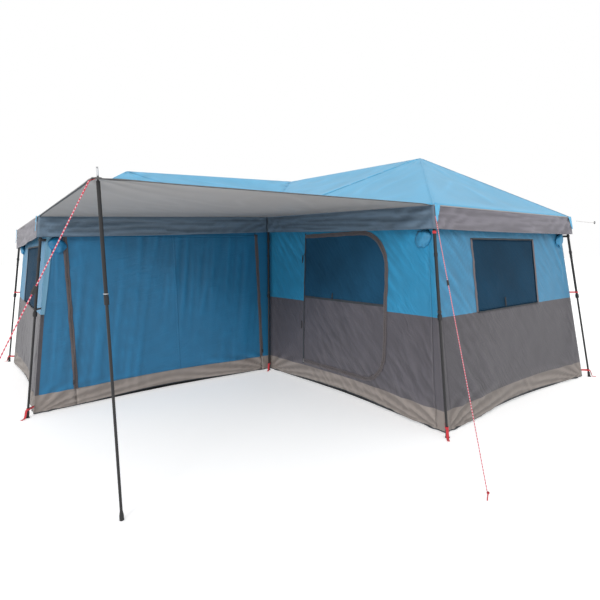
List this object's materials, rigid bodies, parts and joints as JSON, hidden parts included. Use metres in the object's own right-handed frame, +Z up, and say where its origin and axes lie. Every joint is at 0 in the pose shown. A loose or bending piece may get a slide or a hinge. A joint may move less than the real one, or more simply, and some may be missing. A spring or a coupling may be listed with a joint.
{
  "type": "pop up tent",
  "caption": "L-shaped family instant tent: three hub-framed cabins on telescopic legs round a porch awning, with a door, a lifting front panel and window blinds.",
  "frame": {"origin": "on the ground, under the roof's inner corner, which is also the middle of the whole footprint", "axes": "+Z up; +X and +Y run along the two long outer walls; the porch lies in the -X -Y quarter"},
  "size_m": [5.4524, 5.2164, 2.28],
  "materials": {
    "upper_tube": "satin black powder coat",
    "lower_tube": "satin black powder coat, worn smooth where it slides",
    "hub_plastic": "moulded nylon",
    "roof_fabric": "coated polyester, sky blue, satin",
    "awning_fabric": "coated polyester, silver grey",
    "wall_fabric": "coated polyester, blue over warm grey",
    "door_fabric": "coated polyester with a mesh upper half",
    "blind_fabric": "coated polyester, grey",
    "groundsheet_film": "woven polyethylene film",
    "rope": "twisted rope, red with a pale strand",
    "peg_metal": "red painted steel",
    "clip_plastic": "moulded nylon"
  },
  "bodies": {
    "frame_and_cabin": {"leg_upper_inner": "upper_tube", "leg_upper_left_front": "upper_tube", "leg_upper_left_back": "upper_tube", "leg_upper_back_middle": "upper_tube", "leg_upper_back_right": "upper_tube", "leg_upper_right_middle": "upper_tube", "leg_upper_front_right": "upper_tube", "leg_upper_front_left": "upper_tube", "roof_hub_left": "hub_plastic", "roof_hub_corner": "hub_plastic", "roof_hub_right": "hub_plastic", "roof_arm_left_to_left_front": "upper_tube", "roof_arm_left_to_left_back": "upper_tube", "roof_arm_left_to_back_middle": "upper_tube", "roof_arm_left_to_inner": "upper_tube", "roof_arm_corner_to_inner": "upper_tube", "roof_arm_corner_to_back_middle": "upper_tube", "roof_arm_corner_to_back_right": "upper_tube", "roof_arm_corner_to_right_middle": "upper_tube", "roof_arm_right_to_inner": "upper_tube", "roof_arm_right_to_right_middle": "upper_tube", "roof_arm_right_to_front_right": "upper_tube", "roof_arm_right_to_front_left": "upper_tube", "awning_pole_upper": "upper_tube", "awning_sheet": "awning_fabric", "roof_cover": "roof_fabric", "groundsheet": "groundsheet_film", "guy_rope_front": "rope", "guy_rope_awning": "rope", "side_line": "rope", "side_line_hook": "clip_plastic", "wall_left_porch": "wall_fabric", "wall_right_porch": "wall_fabric", "wall_left": "wall_fabric", "wall_front": "wall_fabric", "wall_back": "wall_fabric", "wall_right": "wall_fabric"},
    "leg_lower_inner": {"leg_lower_inner": "lower_tube"},
    "leg_lower_left_front": {"leg_lower_left_front": "lower_tube"},
    "leg_lower_left_back": {"leg_lower_left_back": "lower_tube"},
    "leg_lower_back_middle": {"leg_lower_back_middle": "lower_tube"},
    "leg_lower_back_right": {"leg_lower_back_right": "lower_tube"},
    "leg_lower_right_middle": {"leg_lower_right_middle": "lower_tube"},
    "leg_lower_front_right": {"leg_lower_front_right": "lower_tube"},
    "leg_lower_front_left": {"leg_lower_front_left": "lower_tube", "peg_front": "peg_metal"},
    "awning_pole_lower": {"awning_pole_lower": "lower_tube", "peg_awning": "peg_metal"},
    "door_flap": {"door_flap": "door_fabric"},
    "front_panel": {"front_panel": "door_fabric"},
    "blind_left": {"blind_left": "blind_fabric"},
    "blind_front": {"blind_front": "blind_fabric"},
    "blind_back_left": {"blind_back_left": "blind_fabric"},
    "blind_back_right": {"blind_back_right": "blind_fabric"},
    "blind_right_back": {"blind_right_back": "blind_fabric"},
    "blind_right_front": {"blind_right_front": "blind_fabric"},
    "zip_pull_left": {"zip_pull_left": "clip_plastic"},
    "zip_pull_right": {"zip_pull_right": "clip_plastic"},
    "rope_tensioner_front": {"rope_tensioner_front": "clip_plastic"},
    "rope_tensioner_awning": {"rope_tensioner_awning": "clip_plastic"}
  },
  "joints": [
    {"name": "leg_slide_inner", "type": "slide", "parent": "frame_and_cabin", "child": "leg_lower_inner", "axis": [0.0474, 0.0474, 0.9978], "range_m": [0, 0.65]},
    {"name": "leg_slide_left_front", "type": "slide", "parent": "frame_and_cabin", "child": "leg_lower_left_front", "axis": [0.1316, 0.047, 0.9902], "range_m": [0, 0.65]},
    {"name": "leg_slide_left_back", "type": "slide", "parent": "frame_and_cabin", "child": "leg_lower_left_back", "axis": [0.1306, -0.1306, 0.9828], "range_m": [0, 0.65]},
    {"name": "leg_slide_back_middle", "type": "slide", "parent": "frame_and_cabin", "child": "leg_lower_back_middle", "axis": [0, -0.1318, 0.9913], "range_m": [0, 0.65]},
    {"name": "leg_slide_back_right", "type": "slide", "parent": "frame_and_cabin", "child": "leg_lower_back_right", "axis": [-0.1306, -0.1306, 0.9828], "range_m": [0, 0.65]},
    {"name": "leg_slide_right_middle", "type": "slide", "parent": "frame_and_cabin", "child": "leg_lower_right_middle", "axis": [-0.1318, 0, 0.9913], "range_m": [0, 0.65]},
    {"name": "leg_slide_front_right", "type": "slide", "parent": "frame_and_cabin", "child": "leg_lower_front_right", "axis": [-0.1306, 0.1306, 0.9828], "range_m": [0, 0.65]},
    {"name": "leg_slide_front_left", "type": "slide", "parent": "frame_and_cabin", "child": "leg_lower_front_left", "axis": [0.047, 0.1316, 0.9902], "range_m": [0, 0.65], "deforming": ["guy_rope_front"]},
    {"name": "awning_pole_slide", "type": "slide", "parent": "frame_and_cabin", "child": "awning_pole_lower", "axis": [-0.0126, -0.0139, 0.9998], "range_m": [0, 0.45], "deforming": ["guy_rope_awning"]},
    {"name": "door_swing", "type": "hinge", "parent": "frame_and_cabin", "child": "door_flap", "pos_m": [0.00699, -0.585, 0.2], "axis": [-0.0474, 0, -0.9989], "range_deg": [0, 110]},
    {"name": "front_panel_lift", "type": "hinge", "parent": "frame_and_cabin", "child": "front_panel", "pos_m": [-1.025, 0.06633, 1.45], "axis": [1, 0, 0], "range_deg": [0, 80]},
    {"name": "blind_left_drop", "type": "hinge", "parent": "frame_and_cabin", "child": "blind_left", "pos_m": [-2.14466, 1.005, 0.785], "axis": [0, 1, 0], "range_deg": [0, 160]},
    {"name": "blind_front_drop", "type": "hinge", "parent": "frame_and_cabin", "child": "blind_front", "pos_m": [1.005, -2.14466, 0.785], "axis": [-1, 0, 0], "range_deg": [0, 160]},
    {"name": "blind_back_left_drop", "type": "hinge", "parent": "frame_and_cabin", "child": "blind_back_left", "pos_m": [-1.005, 2.14466, 0.785], "axis": [1, 0, 0], "range_deg": [0, 160]},
    {"name": "blind_back_right_drop", "type": "hinge", "parent": "frame_and_cabin", "child": "blind_back_right", "pos_m": [1.005, 2.14466, 0.785], "axis": [1, 0, 0], "range_deg": [0, 160]},
    {"name": "blind_right_back_drop", "type": "hinge", "parent": "frame_and_cabin", "child": "blind_right_back", "pos_m": [2.14466, 1.005, 0.785], "axis": [0, -1, 0], "range_deg": [0, 160]},
    {"name": "blind_right_front_drop", "type": "hinge", "parent": "frame_and_cabin", "child": "blind_right_front", "pos_m": [2.14466, -1.005, 0.785], "axis": [0, -1, 0], "range_deg": [0, 160]},
    {"name": "zip_pull_slide_left", "type": "slide", "parent": "frame_and_cabin", "child": "zip_pull_left", "axis": [0, 0.0474, 0.9989], "range_m": [0, 1.15]},
    {"name": "zip_pull_slide_right", "type": "slide", "parent": "frame_and_cabin", "child": "zip_pull_right", "axis": [0, 0.0474, 0.9989], "range_m": [0, 1.15]},
    {"name": "rope_tensioner_slide_front", "type": "slide", "parent": "frame_and_cabin", "child": "rope_tensioner_front", "axis": [0.3059, 0.4258, 0.8516], "range_m": [-0.15, 0.15]},
    {"name": "rope_tensioner_slide_awning", "type": "slide", "parent": "frame_and_cabin", "child": "rope_tensioner_awning", "axis": [0.4624, 0.1369, 0.876], "range_m": [-0.15, 0.15]}
  ],
  "couplings": [
    {"joint": "leg_slide_left_front", "follows": "leg_slide_inner", "ratio": 1},
    {"joint": "leg_slide_left_back", "follows": "leg_slide_inner", "ratio": 1},
    {"joint": "leg_slide_back_middle", "follows": "leg_slide_inner", "ratio": 1},
    {"joint": "leg_slide_back_right", "follows": "leg_slide_inner", "ratio": 1},
    {"joint": "leg_slide_right_middle", "follows": "leg_slide_inner", "ratio": 1},
    {"joint": "leg_slide_front_right", "follows": "leg_slide_inner", "ratio": 1},
    {"joint": "leg_slide_front_left", "follows": "leg_slide_inner", "ratio": 1}
  ]
}
